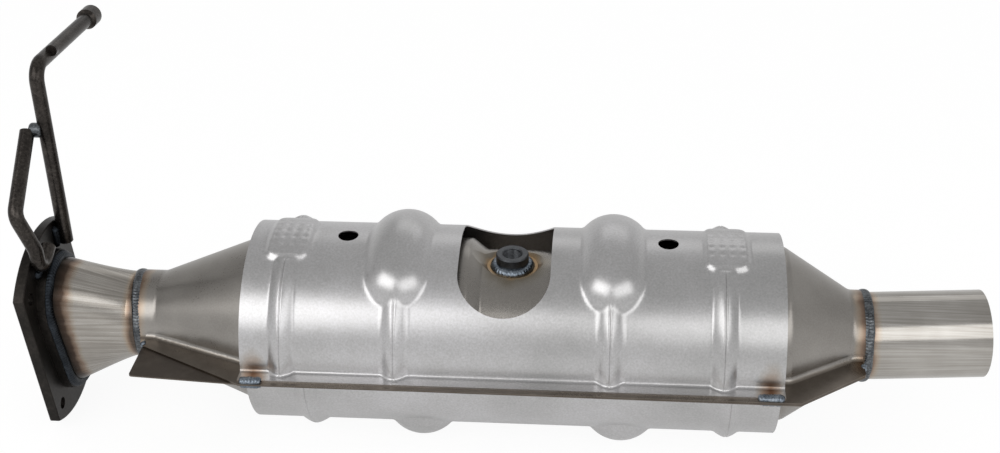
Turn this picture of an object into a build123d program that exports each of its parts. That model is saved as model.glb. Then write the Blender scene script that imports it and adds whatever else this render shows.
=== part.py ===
# Catalytic converter with a four-bolt inlet flange, two pressed shells clamped round two
# honeycomb blocks, a pair of embossed heat shields, a plain outlet tube and a hanger rod.
# Millimetres. Origin at the centre of the inlet flange's mating face, +X runs with the gas, +Z up.
import os
from math import atan2, cos, degrees, hypot, radians, sin, tan

from build123d import *

os.makedirs("parts", exist_ok=True)

# Stock
SHELL_T = 1.5
SHIELD_T = 1.2
INLET_T = 2.0
TUBE_T = 1.65
TUBE_R = 38.1
ROD_R = 6.35

# Clearances
SLIP = 0.15
WELD_GAP = 0.05
ROD_SEAT = 0.1
MAT_GAP = 0.1
PILOT_GAP = 0.1

# Body axis, seen from the flange centre
AXIS_Y = 4.2
AXIS_Z = 6.2

# Inlet flange, drawn upright and then rolled about X
FLANGE_T = 9.5
FLANGE_R = 93.4
FLANGE_HALF = 58.5
FLANGE_ROLL = 9.8
BOLT_R = 5.5
BOLT_Y = 44.0
BOLT_Z = 64.0
HUB_H = 8.0
HUB_LIP = 6.0
FLANGE_EDGE = 0.8

# Inlet pipe: upright oval at the flange, round at the collar
PORT_A = 35.0
PORT_B = 68.0
PORT_ROLL = 14.5
PORT_SET = 2.5
ROUND_X = 80.0
SIDE_ARC = 20.0
INLET_IN = 14.0

# Shells
BRICK_R = 76.25
WAIST_R = 66.5
COLLAR_R = TUBE_R + SLIP + SHELL_T
MOUTH_X = 86.0
MOUTH_TILT = 8.0
COLLAR_X0 = 106.8
FRONT_X0 = 200.8
FRONT_X1 = 383.6
WAIST_X0 = 396.6
WAIST_X1 = 458.6
REAR_X0 = 471.6
REAR_X1 = 656.1
COLLAR_X1 = 713.6
OUTLET_X = 726.8
BEND_R = 5.0

# Heat shields
SHIELD_R = 87.5
SHIELD_FOOT = 13.0
SHIELD_HALF = SHIELD_R + SHIELD_FOOT
SHIELD_BEND = 3.0
UPPER_X0 = 194.4
UPPER_X1 = 652.0
LOWER_X0 = 197.6
LOWER_X1 = 650.1

# Seam flange outline, from the collars and the shields it carries
SEAM_SHOW = 5.0
SEAM_HALF = SHIELD_HALF + SEAM_SHOW
SEAM_X0 = 99.0
SEAM_X1 = 722.0
SEAM_IN_HALF = COLLAR_R + 13.7
SEAM_OUT_HALF = COLLAR_R + 22.2
SEAM_TAPER_X0 = 196.0
SEAM_TAPER_X1 = 664.0
WING_HALF = SEAM_HALF - 9.9
WING_END = SEAM_HALF - 3.0
SEAM_CORNER = 3.0

# Oxygen sensor bung on its pressed seat
BUNG_X = 420.8
SEAT_Z = 61.5
SEAT_R = 22.0
BUNG_R = 14.2
BUNG_H = 12.4
BUNG_TAP_R = 8.25
PILOT_R = 11.0
BUNG_CHAMFER = 1.0
BUNG_WELD_R = 19.4
BUNG_WELD_H = 5.2
BUNG_WELD_BULGE = 0.64

# Pressings in the shields
DOME_MINOR = 34.5
DOME_SPREAD = 29.0
UPPER_DOMES = (325.6, 508.1)
UPPER_DOME_H = 13.0
LOWER_DOMES = (342.8, 517.3)
LOWER_DOME_H = 12.0
RIB_HALF = 11.0
RIB_H = 4.8
RIB_CREST = 3.0
PRESS_R = 1.5
UPPER_RIBS = (229.6, 326.0, 506.9, 601.6)
LOWER_RIBS = (248.6, 609.2)
PAD_H = 3.0
PAD_ANGLE = 18.0
PAD_RUN = 5.0
PAD_SLOPE = 3.0
PADS = ((211.0, 257.4), (583.1, 623.8))
DENT_R = 5.0
DENT_DEPTH = 0.9
DENT_COLUMNS = 4
DENT_ROWS = 5
DENT_PITCH = 11.0
WINDOW_X = 416.3
WINDOW_HALF = 39.3
WINDOW_ANGLE = 53.4
TOOL_HOLE_R = 8.8
TOOL_HOLES = (278.2, 554.6)

# Honeycomb blocks and what holds them
BLOCK_R = 71.9
BLOCK_L = 152.4
FRONT_BLOCK_X = 216.0
REAR_BLOCK_X = 486.8
MAT_L = 132.0
SEAL_L = 6.0
SEAL_LIP = 2.0
SEAL_IN_R = 68.5

# Outlet tube
OUTLET_YAW = 3.47
OUTLET_PITCH = 1.23
OUTLET_IN = 12.0
OUTLET_END_X = 829.1
OUTLET_TURN = 6.0
OUTLET_BEND_R = 120.0

# Hanger rod: rises behind the flange, turns away from the near side
RISER_Y = 25.1
RISER_Z0 = 68.2
HANGER_TOP_Z = 237.7
HANGER_DROP = 4.56
HANGER_END_Y = 170.0
HANGER_BEND_R = 14.0
HEAD_R = 9.5
HEAD_L = 20.0
HEAD_NECK = 3.0
HEAD_EDGE = 2.5
HEAD_PAST = 6.0
EAR_Y = 56.2
EAR_R = 5.0
EAR_T = 6.0
EAR_OFF = 7.6
EAR_ROLL = 45.0

# Brace rod: from the riser over the flange's rim to a hooked foot on its back
BRACE_TOP = (1.9, 18.8, 180.2)
BRACE_ELBOW = (4.6, -42.7, 131.4)
BRACE_KNEE = (-40.6, 97.0)
BRACE_HOOK = (-39.8, 72.2)
BRACE_FOOT = (-13.8, 85.2)
BRACE_RADII = (14.0, 20.0, 10.0)

# Weld beads
PORT_LEG = 6.0
RING_R = 4.2
TACK_Y = SHIELD_HALF + 0.7
TACK_HALF = 4.2
TACK_H = 3.6
TACKS = ((199.8, 211.4), (632.8, 647.4))
SEAM_END_R = 3.2
SEAM_END_H = 2.6
SEAM_END_Y = COLLAR_R + BEND_R + 4.7
LUMP_R = 6.5
LUMP_L = 11.0
LUMP_Y = 21.6
LUMP_EDGE = 2.5
FOOT_HALF = 4.5
FOOT_H = 4.5
FOOT_OFF = 0.8
FOOT_L = 12.0
FOOT_UP = 2.0
HOOK_X0 = 4.0
HOOK_L = 12.0

# Longer than the whole part, for tools that cut it in two
SPAN = 2 * OUTLET_END_X


def bore(radius, x0, x1):
    return Plane.YZ.offset(x0) * extrude(Circle(radius), amount=x1 - x0)


def on_axis(shape):
    return Pos(0, AXIS_Y, AXIS_Z) * shape


def cap_arc(half, height):
    radius = (half**2 + height**2) / (2 * height)
    mid = half / 2
    return mid, height - radius + (radius**2 - mid**2) ** 0.5


def cap(half, height):
    mid = cap_arc(half, height)
    face = make_face(
        Line((0, 0), (half, 0))
        + ThreePointArc((half, 0), mid, (0, height))
        + Line((0, height), (0, 0))
    )
    return revolve(Plane.XZ * face, axis=Axis.Z)


def bead(length, half, height):
    arc = ThreePointArc((-half, 0), (0, height), (half, 0))
    face = make_face(arc + Line((half, 0), (-half, 0)))
    run = extrude(Plane.YZ * face, amount=length)
    return run + cap(half, height) + Pos(length, 0, 0) * cap(half, height)


# Inlet flange
def oval(grow):
    a = PORT_A + grow
    h = PORT_B - PORT_A
    b = PORT_B + grow
    top = ThreePointArc((a, h), (0, b), (-a, h))
    left = Line((-a, h), (-a, -h))
    bottom = ThreePointArc((-a, -h), (0, -b), (a, -h))
    right = Line((a, -h), (a, h))
    return make_face(Curve() + [top, left, bottom, right])


def round_end(radius):
    c = radius * cos(radians(SIDE_ARC))
    s = radius * sin(radians(SIDE_ARC))
    top = ThreePointArc((c, s), (0, radius), (-c, s))
    left = ThreePointArc((-c, s), (-radius, 0), (-c, -s))
    bottom = ThreePointArc((-c, -s), (0, -radius), (c, -s))
    right = ThreePointArc((c, -s), (radius, 0), (c, s))
    return make_face(Curve() + [top, left, bottom, right])


def port_at(x, face):
    return Plane.YZ.offset(x) * Rot(0, 0, PORT_ROLL) * face


hub_x = FLANGE_T + HUB_H


def inlet_solid(grow, x0, x1):
    straight = extrude(port_at(x0, oval(grow)), amount=hub_x - x0)
    far = on_axis(port_at(ROUND_X, round_end(TUBE_R + grow)))
    cone = loft([port_at(hub_x, oval(grow)), far], ruled=True)
    return straight + cone + on_axis(bore(TUBE_R + grow, ROUND_X, x1))


inlet_x1 = MOUTH_X + INLET_IN
inlet_pipe = inlet_solid(0, PORT_SET, inlet_x1) - inlet_solid(-INLET_T, -1, inlet_x1 + 1)

outline = Circle(FLANGE_R) & Rectangle(2 * FLANGE_HALF, 3 * FLANGE_R)
for side in (-1, 1):
    for end in (-1, 1):
        outline -= Pos(side * BOLT_Y, end * BOLT_Z) * Circle(BOLT_R)
inlet_flange = extrude(Plane.YZ * Rot(0, 0, FLANGE_ROLL) * outline, amount=FLANGE_T)
flat_edges = inlet_flange.edges().group_by(Axis.X)
rim = [edge for edge in flat_edges[0] + flat_edges[-1] if edge.length > 2 * FLANGE_HALF]
inlet_flange = chamfer(rim, FLANGE_EDGE)
inlet_flange += extrude(port_at(FLANGE_T, oval(HUB_LIP)), amount=HUB_H)
inlet_flange -= extrude(port_at(-1, oval(SLIP)), amount=hub_x + 2)

bead_steps = ((0, PORT_LEG), (0.6 * PORT_LEG, 0.75 * PORT_LEG), (1.1 * PORT_LEG, 2 * WELD_GAP))
bead_faces = [port_at(hub_x + dx, oval(grow)) for dx, grow in bead_steps]
inlet_flange_weld = loft(bead_faces, ruled=True) - inlet_solid(WELD_GAP, 0, inlet_x1)


# Shells
PROFILE = (
    (MOUTH_X - 10, COLLAR_R),
    (COLLAR_X0, COLLAR_R),
    (FRONT_X0, BRICK_R),
    (FRONT_X1, BRICK_R),
    (WAIST_X0, WAIST_R),
    (WAIST_X1, WAIST_R),
    (REAR_X0, BRICK_R),
    (REAR_X1, BRICK_R),
    (COLLAR_X1, COLLAR_R),
    (OUTLET_X, COLLAR_R),
)
CORNER_R = (8.0, 12.0, 5.0, 5.0, 5.0, 5.0, 10.0, 8.0)


def body(grow, overrun):
    points = list(PROFILE)
    points[-1] = (points[-1][0] + overrun, points[-1][1])
    points[0] = (points[0][0] - overrun, points[0][1])
    runs = []
    for (xa, ra), (xb, rb) in zip(points, points[1:]):
        length = hypot(xb - xa, rb - ra)
        runs.append(((xb - xa) / length, (rb - ra) / length))
    moved = [(points[0][0], points[0][1] + grow)]
    radii = []
    for (x, r), (ux, ur), (vx, vr), corner in zip(points[1:-1], runs, runs[1:], CORNER_R):
        half = grow / (1 + ux * vx + ur * vr)
        moved.append((x - (ur + vr) * half, r + (ux + vx) * half))
        turn = 1 if ux * vr - ur * vx > 0 else -1
        radii.append(corner - turn * grow)
    moved.append((points[-1][0], points[-1][1] + grow))
    wall = FilletPolyline(*moved, radius=radii)
    close = Polyline(moved[-1], (moved[-1][0], 0), (moved[0][0], 0), moved[0])
    return revolve(Plane.XZ * make_face(wall + close), axis=Axis.X)


def radius_at(x):
    for (xa, ra), (xb, rb) in zip(PROFILE, PROFILE[1:]):
        if xa <= x <= xb:
            return ra + (rb - ra) * (x - xa) / (xb - xa)
    return COLLAR_R


def seam_outline(wing):
    near_in = (SEAM_X0, -WING_HALF) if wing else (SEAM_X0, -SEAM_IN_HALF)
    near_end = -WING_END if wing else -SEAM_HALF
    points = [
        (SEAM_X0, SEAM_IN_HALF),
        (SEAM_TAPER_X0, SEAM_HALF),
        (SEAM_TAPER_X1, SEAM_HALF),
        (SEAM_X1, SEAM_OUT_HALF),
        (SEAM_X1, -SEAM_OUT_HALF),
        (SEAM_TAPER_X1, -SEAM_HALF),
        (SEAM_TAPER_X0, near_end),
        near_in,
    ]
    face = make_face(Polyline(*points, close=True))
    return fillet(face.vertices(), SEAM_CORNER)


def seat(z, radius):
    rise = BRICK_R - z + 5
    cutter = Cone(radius, radius + rise, rise)
    return Pos(BUNG_X, 0, z + rise / 2) * cutter


def shell(side, wing):
    near = Pos(0, 0, side * SPAN / 2) * Box(2 * SPAN, SPAN, SPAN)
    outer = body(0, 0) & near
    low = min(0, side * SHELL_T)
    outer += Pos(0, 0, low) * extrude(seam_outline(wing), amount=SHELL_T)
    bends = []
    for edge in outer.edges():
        mid = edge.center()
        level = abs(mid.Z - side * SHELL_T) < 0.01
        if level and abs(hypot(mid.Y, mid.Z) - radius_at(mid.X)) < 4:
            bends.append(edge)
    outer = fillet(bends, BEND_R)
    inner = body(-SHELL_T, 30)
    if side > 0:
        outer -= seat(SEAT_Z, SEAT_R)
        inner -= seat(SEAT_Z - SHELL_T, SEAT_R + SHELL_T * (2**0.5 - 1))
    half = outer - inner
    beyond = Pos(MOUTH_X, 0, 0) * Rot(0, 0, MOUTH_TILT) * Pos(-SPAN / 2, 0, 0) * Box(SPAN, SPAN, SPAN)
    half -= beyond
    if side > 0:
        half -= Pos(BUNG_X, 0, SEAT_Z) * Cylinder(PILOT_R + PILOT_GAP, 4 * SHELL_T)
    return half


upper_shell = on_axis(shell(1, False))
lower_shell = on_axis(shell(-1, True))


# Heat shields
def shield_section(radius, half, level, bend):
    arch = Circle(radius) & Pos(0, radius) * Rectangle(2 * radius, 2 * radius)
    foot = Pos(0, level / 2) * Rectangle(2 * half, level)
    face = arch + foot
    corners = [v for v in face.vertices() if abs(v.Y - level) < 0.01 and abs(v.X) < radius + 1]
    return fillet(corners, bend)


def dome(x, height, shrink):
    centre = SHIELD_R + height - DOME_MINOR
    section = Plane.XY * Pos(x, centre) * Circle(DOME_MINOR - shrink)
    ring = revolve(section, axis=Axis.X, revolution_arc=2 * DOME_SPREAD)
    ring = Rot(90 - DOME_SPREAD, 0, 0) * ring
    for way in (-1, 1):
        end = Rot(way * DOME_SPREAD, 0, 0) * Pos(x, 0, centre) * Sphere(DOME_MINOR - shrink)
        ring += end
    return ring


def rib(x, shrink, start):
    crest = SHIELD_R + RIB_H - shrink
    half = RIB_HALF - shrink
    base = SHIELD_R - shrink - RIB_H
    profile = Polyline((x - 2 * half, base), (x, crest), (x + 2 * half, base), close=True)
    face = make_face(profile)
    top = face.vertices().sort_by(Axis.Y)[-1]
    face = fillet(top, RIB_CREST)
    turned = revolve(face, axis=Axis.X, revolution_arc=90 - start)
    return turned, Rot(90 + start, 0, 0) * turned


def polar(radius, angle):
    return radius * sin(radians(angle)), radius * cos(radians(angle))


def pad(x0, x1, shrink):
    top = SHIELD_R + PAD_H - shrink
    low = SHIELD_R - PAD_H - shrink
    lean = 2 * PAD_SLOPE
    x0 += shrink
    x1 -= shrink
    over = top + PAD_H
    a = x0 + PAD_SLOPE
    b = x1 - PAD_SLOPE
    side = make_face(Polyline((x0 - lean, low), (a, over), (b, over), (x1 + lean, low), close=True))
    drum = revolve(side, axis=Axis.X) & bore(top, x0 - 2 * lean, x1 + 2 * lean)
    edge = PAD_ANGLE - degrees(shrink / SHIELD_R)
    far = polar(SHIELD_R - PAD_H, edge + 2 * PAD_RUN)
    near = polar(SHIELD_R + PAD_H, edge)
    sky = 2 * SHIELD_R
    right = [(0, 0), far, near, (near[0], sky)]
    left = [(-y, z) for y, z in reversed(right[1:])]
    ends = make_face(Polyline(*right, *left, close=True))
    return drum & extrude(Plane.YZ.offset(x0 - 2 * lean) * ends, amount=x1 - x0 + 4 * lean)


def dents(x0, x1, grow):
    centre = SHIELD_R + PAD_H + DENT_R - DENT_DEPTH
    balls = []
    for i in range(DENT_COLUMNS):
        x = (x0 + x1) / 2 + (i - (DENT_COLUMNS - 1) / 2) * DENT_PITCH
        for j in range(DENT_ROWS):
            angle = degrees((j - (DENT_ROWS - 1) / 2) * DENT_PITCH / SHIELD_R)
            balls.append(Rot(angle, 0, 0) * Pos(x, 0, centre) * Sphere(DENT_R + grow))
    return balls


def blend(shape, radius, x0, x1, size):
    feet = []
    for edge in shape.edges():
        mid = edge.position_at(0.5)
        on_arch = abs(hypot(mid.Y, mid.Z) - radius) < SHIELD_T / 2
        if on_arch and mid.Z > SHIELD_FOOT / 2 and x0 + 1 < mid.X < x1 - 1 and edge.length > SHIELD_BEND:
            feet.append(edge)
    return fillet(feet, size)


def shield(x0, x1, domes, height, ribs, starts, pads):
    level = SHELL_T + SHIELD_T
    outside = shield_section(SHIELD_R, SHIELD_HALF, level, SHIELD_BEND)
    outer = extrude(Plane.YZ.offset(x0) * outside, amount=x1 - x0)
    inside = shield_section(SHIELD_R - SHIELD_T, SHIELD_HALF + 5, SHELL_T, SHIELD_BEND + SHIELD_T)
    inner = extrude(Plane.YZ.offset(x0 - 5) * inside, amount=x1 - x0 + 10)
    for xa, xb in pads:
        outer += pad(xa, xb, 0)
        inner += pad(xa, xb, SHIELD_T)
        outer -= dents(xa, xb, 0)
        inner -= dents(xa, xb, SHIELD_T)
    for x in domes:
        outer += dome(x, height, 0)
        inner += dome(x, height, SHIELD_T)
    for x, start in zip(ribs, starts):
        for piece in rib(x, 0, start):
            outer += piece
        for piece in rib(x, SHIELD_T, start):
            inner += piece
    outer = blend(outer, SHIELD_R, x0, x1, PRESS_R)
    inner = blend(inner, SHIELD_R - SHIELD_T, x0 - 5, x1 + 5, PRESS_R + SHIELD_T)
    return outer - inner


rib_start = PAD_ANGLE + PAD_RUN / 2
UPPER_STARTS = (rib_start, DOME_SPREAD, DOME_SPREAD, rib_start)
upper = shield(UPPER_X0, UPPER_X1, UPPER_DOMES, UPPER_DOME_H, UPPER_RIBS, UPPER_STARTS, PADS)


def window():
    reach = SHIELD_R * radians(WINDOW_ANGLE)
    straight = reach - WINDOW_HALF
    steps = 12
    arc = []
    for i in range(steps + 1):
        t = radians(180 * i / steps)
        s = straight + WINDOW_HALF * sin(t)
        arc.append((WINDOW_X + WINDOW_HALF * cos(t), SHIELD_R * sin(s / SHIELD_R)))
    far = Spline(*arc)
    near = Spline(*[(x, -y) for x, y in arc])
    left = Line(arc[-1], (arc[-1][0], -arc[-1][1]))
    right = Line(arc[0], (arc[0][0], -arc[0][1]))
    return extrude(make_face(Curve() + [far, left, near, right]), amount=2 * SHIELD_R)


upper -= window()
for x in TOOL_HOLES:
    upper -= Pos(x, 0, SHIELD_R) * Cylinder(TOOL_HOLE_R, SHIELD_R / 2)
upper_heat_shield = on_axis(upper)
lower = shield(LOWER_X0, LOWER_X1, LOWER_DOMES, LOWER_DOME_H, LOWER_RIBS, (0, 0), ())
lower_heat_shield = on_axis(mirror(lower, about=Plane.XY))

# Oxygen sensor bung
bung_top = SEAT_Z + BUNG_H
bung = Pos(BUNG_X, 0, SEAT_Z + BUNG_H / 2) * Cylinder(BUNG_R, BUNG_H)
bung += Pos(BUNG_X, 0, SEAT_Z - SHELL_T / 2) * Cylinder(PILOT_R, SHELL_T)
bung = chamfer(bung.edges().group_by(Axis.Z)[-1], BUNG_CHAMFER)
bung -= Pos(BUNG_X, 0, SEAT_Z) * Cylinder(BUNG_TAP_R, 4 * BUNG_H)
bung = chamfer(bung.edges().group_by(Axis.Z)[-1].sort_by(SortBy.LENGTH)[0], BUNG_CHAMFER)
oxygen_sensor_bung = on_axis(bung)

foot_r = BUNG_R + WELD_GAP
bulge = (foot_r + BUNG_WELD_BULGE * (BUNG_WELD_R - foot_r), BUNG_WELD_BULGE * BUNG_WELD_H)
fillet_face = make_face(
    Line((foot_r, 0), (BUNG_WELD_R, 0))
    + ThreePointArc((BUNG_WELD_R, 0), bulge, (foot_r, BUNG_WELD_H))
    + Line((foot_r, BUNG_WELD_H), (foot_r, 0))
)
bung_weld = on_axis(Pos(BUNG_X, 0, SEAT_Z) * revolve(Plane.XZ * fillet_face, axis=Axis.Z))


# Ring welds at the two collars
def ring_weld(x, tilt, filled):
    ring = Pos(x, 0, 0) * Rot(0, 0, tilt) * Rot(0, 90, 0) * Torus(TUBE_R + SLIP, RING_R)
    reach = 3 * RING_R + COLLAR_R * tan(radians(tilt))
    inward = SPAN / 2 if x < FRONT_X0 else -SPAN / 2
    mouth = Pos(x, 0, 0) * Rot(0, 0, tilt) * Pos(inward, 0, 0) * Box(SPAN, SPAN, SPAN)
    sleeve = bore(COLLAR_R + WELD_GAP, x - reach, x + reach) & mouth
    return on_axis(ring - sleeve) - filled


inlet_pipe_weld = ring_weld(MOUTH_X, MOUTH_TILT, inlet_solid(WELD_GAP, 0, inlet_x1))

# Outlet tube
yaw = radians(OUTLET_YAW)
pitch = radians(OUTLET_PITCH)
turn_x = OUTLET_X + OUTLET_TURN
run = OUTLET_END_X - turn_x
tube_path = FilletPolyline(
    (OUTLET_X - OUTLET_IN, 0, 0),
    (turn_x, 0, 0),
    (OUTLET_END_X, run * tan(yaw), run * tan(pitch)),
    radius=OUTLET_BEND_R,
)


def tube(radius):
    # straight legs are extruded, so that their walls stay true cylinders
    legs = []
    for leg in tube_path.edges().sort_by(Axis.X):
        start = Plane(leg @ 0, z_dir=leg % 0) * Circle(radius)
        bent = leg.geom_type == GeomType.CIRCLE
        legs.append(sweep(start, path=leg) if bent else extrude(start, amount=leg.length))
    return legs[0] + legs[1] + legs[2]


outlet_pipe = on_axis(tube(TUBE_R) - tube(TUBE_R - TUBE_T))
outlet_pipe_weld = ring_weld(OUTLET_X, 0, on_axis(tube(TUBE_R + WELD_GAP)))

# Honeycomb blocks, mats and mesh seals
def ring(outer, inner, x0, x1):
    return bore(outer, x0, x1) - bore(inner, x0 - 1, x1 + 1)


wall_r = BRICK_R - SHELL_T - MAT_GAP


def packed(x0):
    block = bore(BLOCK_R, x0, x0 + BLOCK_L)
    mid = x0 + BLOCK_L / 2
    mat = ring(wall_r, BLOCK_R + MAT_GAP, mid - MAT_L / 2, mid + MAT_L / 2)
    seals = []
    for face, way in ((x0, 1), (x0 + BLOCK_L, -1)):
        skirt = sorted((face, face + way * SEAL_L))
        lip = sorted((face - way * SEAL_LIP, face))
        skirt_ring = ring(wall_r, BLOCK_R + MAT_GAP, skirt[0], skirt[1])
        seals.append(on_axis(skirt_ring + ring(wall_r, SEAL_IN_R, lip[0], lip[1])))
    return on_axis(block), on_axis(mat), Compound(children=seals)


front_monolith, front_mat, front_seals = packed(FRONT_BLOCK_X)
rear_monolith, rear_mat, rear_seals = packed(REAR_BLOCK_X)

# Hanger rod
rod_x = FLANGE_T + ROD_R + ROD_SEAT
fall = tan(radians(HANGER_DROP))
hanger_end = (rod_x, HANGER_END_Y, HANGER_TOP_Z - (HANGER_END_Y - RISER_Y) * fall)
hanger_path = FilletPolyline(
    (rod_x, RISER_Y, RISER_Z0),
    (rod_x, RISER_Y, HANGER_TOP_Z),
    hanger_end,
    radius=HANGER_BEND_R,
)


def rod(path, radius):
    return sweep(Plane(path @ 0, z_dir=path % 0) * Circle(radius), path=path)


hanger_rod = rod(hanger_path, ROD_R)
head_half = Polyline((0, 0), (ROD_R, 0), (HEAD_R, HEAD_NECK), (HEAD_R, HEAD_L), (0, HEAD_L), close=True)
head = revolve(make_face(head_half), axis=Axis.Y)
head = fillet(head.edges().group_by(Axis.Y)[-1], HEAD_EDGE)
to_rod = Pos(rod_x, RISER_Y, HANGER_TOP_Z) * Rot(-HANGER_DROP, 0, 0)
reach = (HANGER_END_Y - RISER_Y) / cos(radians(HANGER_DROP))
hanger_rod += to_rod * Pos(0, reach - HEAD_L + HEAD_PAST, 0) * head
to_ears = to_rod * Pos(0, EAR_Y - RISER_Y, 0) * Rot(0, EAR_ROLL, 0)
for way in (-1, 1):
    hanger_rod += to_ears * Pos(0, 0, way * EAR_OFF) * Rot(90, 0, 0) * Cylinder(EAR_R, EAR_T)

# Brace rod
brace_path = FilletPolyline(
    BRACE_TOP,
    BRACE_ELBOW,
    (rod_x,) + BRACE_KNEE,
    (rod_x,) + BRACE_HOOK,
    (rod_x,) + BRACE_FOOT,
    radius=list(BRACE_RADII),
)
brace_rod = rod(brace_path, ROD_R)

# Welds on the rods
riser_tool = Pos(rod_x, RISER_Y, RISER_Z0) * Cylinder(ROD_R + WELD_GAP, 2 * HANGER_TOP_Z)
brace_tool = rod(brace_path, ROD_R + WELD_GAP)
lump = Pos((BRACE_TOP[0] + rod_x) / 2, LUMP_Y, BRACE_TOP[2]) * Rot(0, 90, 0) * Cylinder(LUMP_R, LUMP_L)
lump = fillet(lump.edges().group_by(Axis.X)[0] + lump.edges().group_by(Axis.X)[-1], LUMP_EDGE)
brace_weld = lump - riser_tool - brace_tool

foot_welds = []
for way in (-1, 1):
    start = (FLANGE_T, RISER_Y + way * (ROD_R + FOOT_OFF), RISER_Z0 + FOOT_UP)
    along = Plane(start, x_dir=(0, 0, 1), z_dir=(1, 0, 0))
    foot_welds.append(along * bead(FOOT_L, FOOT_HALF, FOOT_H) - riser_tool)
slope = atan2(BRACE_FOOT[1] - BRACE_HOOK[1], BRACE_FOOT[0] - BRACE_HOOK[0])
off = ROD_R + FOOT_OFF
hook_y = BRACE_HOOK[0] + HOOK_X0 * cos(slope) + off * sin(slope)
hook_z = BRACE_HOOK[1] + HOOK_X0 * sin(slope) - off * cos(slope)
hook = Plane((FLANGE_T, hook_y, hook_z), x_dir=(0, cos(slope), sin(slope)), z_dir=(1, 0, 0))
foot_welds.append(hook * bead(HOOK_L, FOOT_HALF, FOOT_H) - brace_tool)
hub_tool = extrude(port_at(0, oval(HUB_LIP + WELD_GAP)), amount=hub_x)
rod_flange_welds = Compound(children=[one - hub_tool for one in foot_welds])

# Tack welds and seam ends
tacks = []
ends = []
for side in (-1, 1):
    for x0, x1 in TACKS:
        spot = Pos(x0, side * TACK_Y, SHELL_T) * bead(x1 - x0, TACK_HALF, TACK_H)
        spot -= Pos(0, 0, SHELL_T + SHIELD_T / 2) * Box(SPAN, 2 * SHIELD_HALF, SHIELD_T)
        for face in (0, 180):
            tacks.append(on_axis(Rot(face, 0, 0) * spot))
    for x, turn in ((SEAM_X0, -90), (SEAM_X1, 90)):
        drop = Pos(x, side * SEAM_END_Y, 0) * Rot(0, turn, 0) * cap(SEAM_END_R, SEAM_END_H)
        ends.append(on_axis(drop))
shield_tack_welds = Compound(children=tacks)
seam_end_welds = Compound(children=ends)

NODES = {
    "inlet_flange": inlet_flange,
    "inlet_flange_weld": inlet_flange_weld,
    "inlet_pipe": inlet_pipe,
    "inlet_pipe_weld": inlet_pipe_weld,
    "upper_shell": upper_shell,
    "lower_shell": lower_shell,
    "upper_heat_shield": upper_heat_shield,
    "lower_heat_shield": lower_heat_shield,
    "shield_tack_welds": shield_tack_welds,
    "seam_end_welds": seam_end_welds,
    "oxygen_sensor_bung": oxygen_sensor_bung,
    "bung_weld": bung_weld,
    "outlet_pipe": outlet_pipe,
    "outlet_pipe_weld": outlet_pipe_weld,
    "hanger_rod": hanger_rod,
    "brace_rod": brace_rod,
    "brace_weld": brace_weld,
    "rod_flange_welds": rod_flange_welds,
    "front_monolith": front_monolith,
    "rear_monolith": rear_monolith,
    "front_mat": front_mat,
    "rear_mat": rear_mat,
    "front_seals": front_seals,
    "rear_seals": rear_seals,
}
for name, shape in NODES.items():
    export_step(shape, f"parts/{name}.step")
    print(name, len(shape.solids()), round(shape.volume, 1))
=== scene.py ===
import math

import bmesh
import bpy
from mathutils import Matrix, Vector, noise


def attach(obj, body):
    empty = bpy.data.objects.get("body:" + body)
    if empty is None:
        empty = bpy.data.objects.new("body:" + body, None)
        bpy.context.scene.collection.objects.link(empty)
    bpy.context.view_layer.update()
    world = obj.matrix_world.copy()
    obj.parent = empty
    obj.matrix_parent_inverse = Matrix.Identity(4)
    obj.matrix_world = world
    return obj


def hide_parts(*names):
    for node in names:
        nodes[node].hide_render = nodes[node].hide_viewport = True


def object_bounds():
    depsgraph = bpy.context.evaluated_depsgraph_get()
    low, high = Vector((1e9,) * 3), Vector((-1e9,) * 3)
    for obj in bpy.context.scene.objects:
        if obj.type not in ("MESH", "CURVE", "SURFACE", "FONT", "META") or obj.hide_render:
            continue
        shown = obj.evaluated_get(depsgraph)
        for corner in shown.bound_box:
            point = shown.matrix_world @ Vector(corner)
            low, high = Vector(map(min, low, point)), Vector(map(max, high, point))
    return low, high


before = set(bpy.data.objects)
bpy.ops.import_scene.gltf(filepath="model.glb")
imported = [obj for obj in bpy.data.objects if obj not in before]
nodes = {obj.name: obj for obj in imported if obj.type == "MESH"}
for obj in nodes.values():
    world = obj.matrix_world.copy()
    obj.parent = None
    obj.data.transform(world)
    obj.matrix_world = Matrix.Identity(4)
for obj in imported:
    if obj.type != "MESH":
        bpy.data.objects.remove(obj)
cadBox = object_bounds()

mm = 0.001
tau = 2 * math.pi
bodyAxis = Vector((0, 4.2, 6.2))  # mm, from the flange centre to the body's own axis

# Camera, fitted to the outline. Places in mm.
camera = {
    "target": (410.36, 4.2, 106.41),
    "azimuth": 4.82,
    "elevation": 29.87,
    "roll": -0.91,
    "distance": 1269.1,
    "lens": 53.3,
    "sensor": 36,
    "clip": (0.05, 50),  # metres
}


def makeCamera():
    az = math.radians(camera["azimuth"])
    el = math.radians(camera["elevation"])
    roll = math.radians(camera["roll"])
    back = Vector((math.sin(az) * math.cos(el), -math.cos(az) * math.cos(el), math.sin(el)))
    right = (-back).cross(Vector((0, 0, 1))).normalized()
    up = right.cross(-back)
    side = right * math.cos(roll) + up * math.sin(roll)
    top = up * math.cos(roll) - right * math.sin(roll)
    data = bpy.data.cameras.new("camera")
    data.lens = camera["lens"]
    data.sensor_width = camera["sensor"]
    data.clip_start, data.clip_end = camera["clip"]
    cam = bpy.data.objects.new("camera", data)
    bpy.context.scene.collection.objects.link(cam)
    place = (Vector(camera["target"]) + back * camera["distance"]) * mm
    cam.matrix_world = Matrix.Translation(place) @ Matrix((side, top, back)).transposed().to_4x4()
    bpy.context.scene.camera = cam


makeCamera()
print("camera set")


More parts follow.
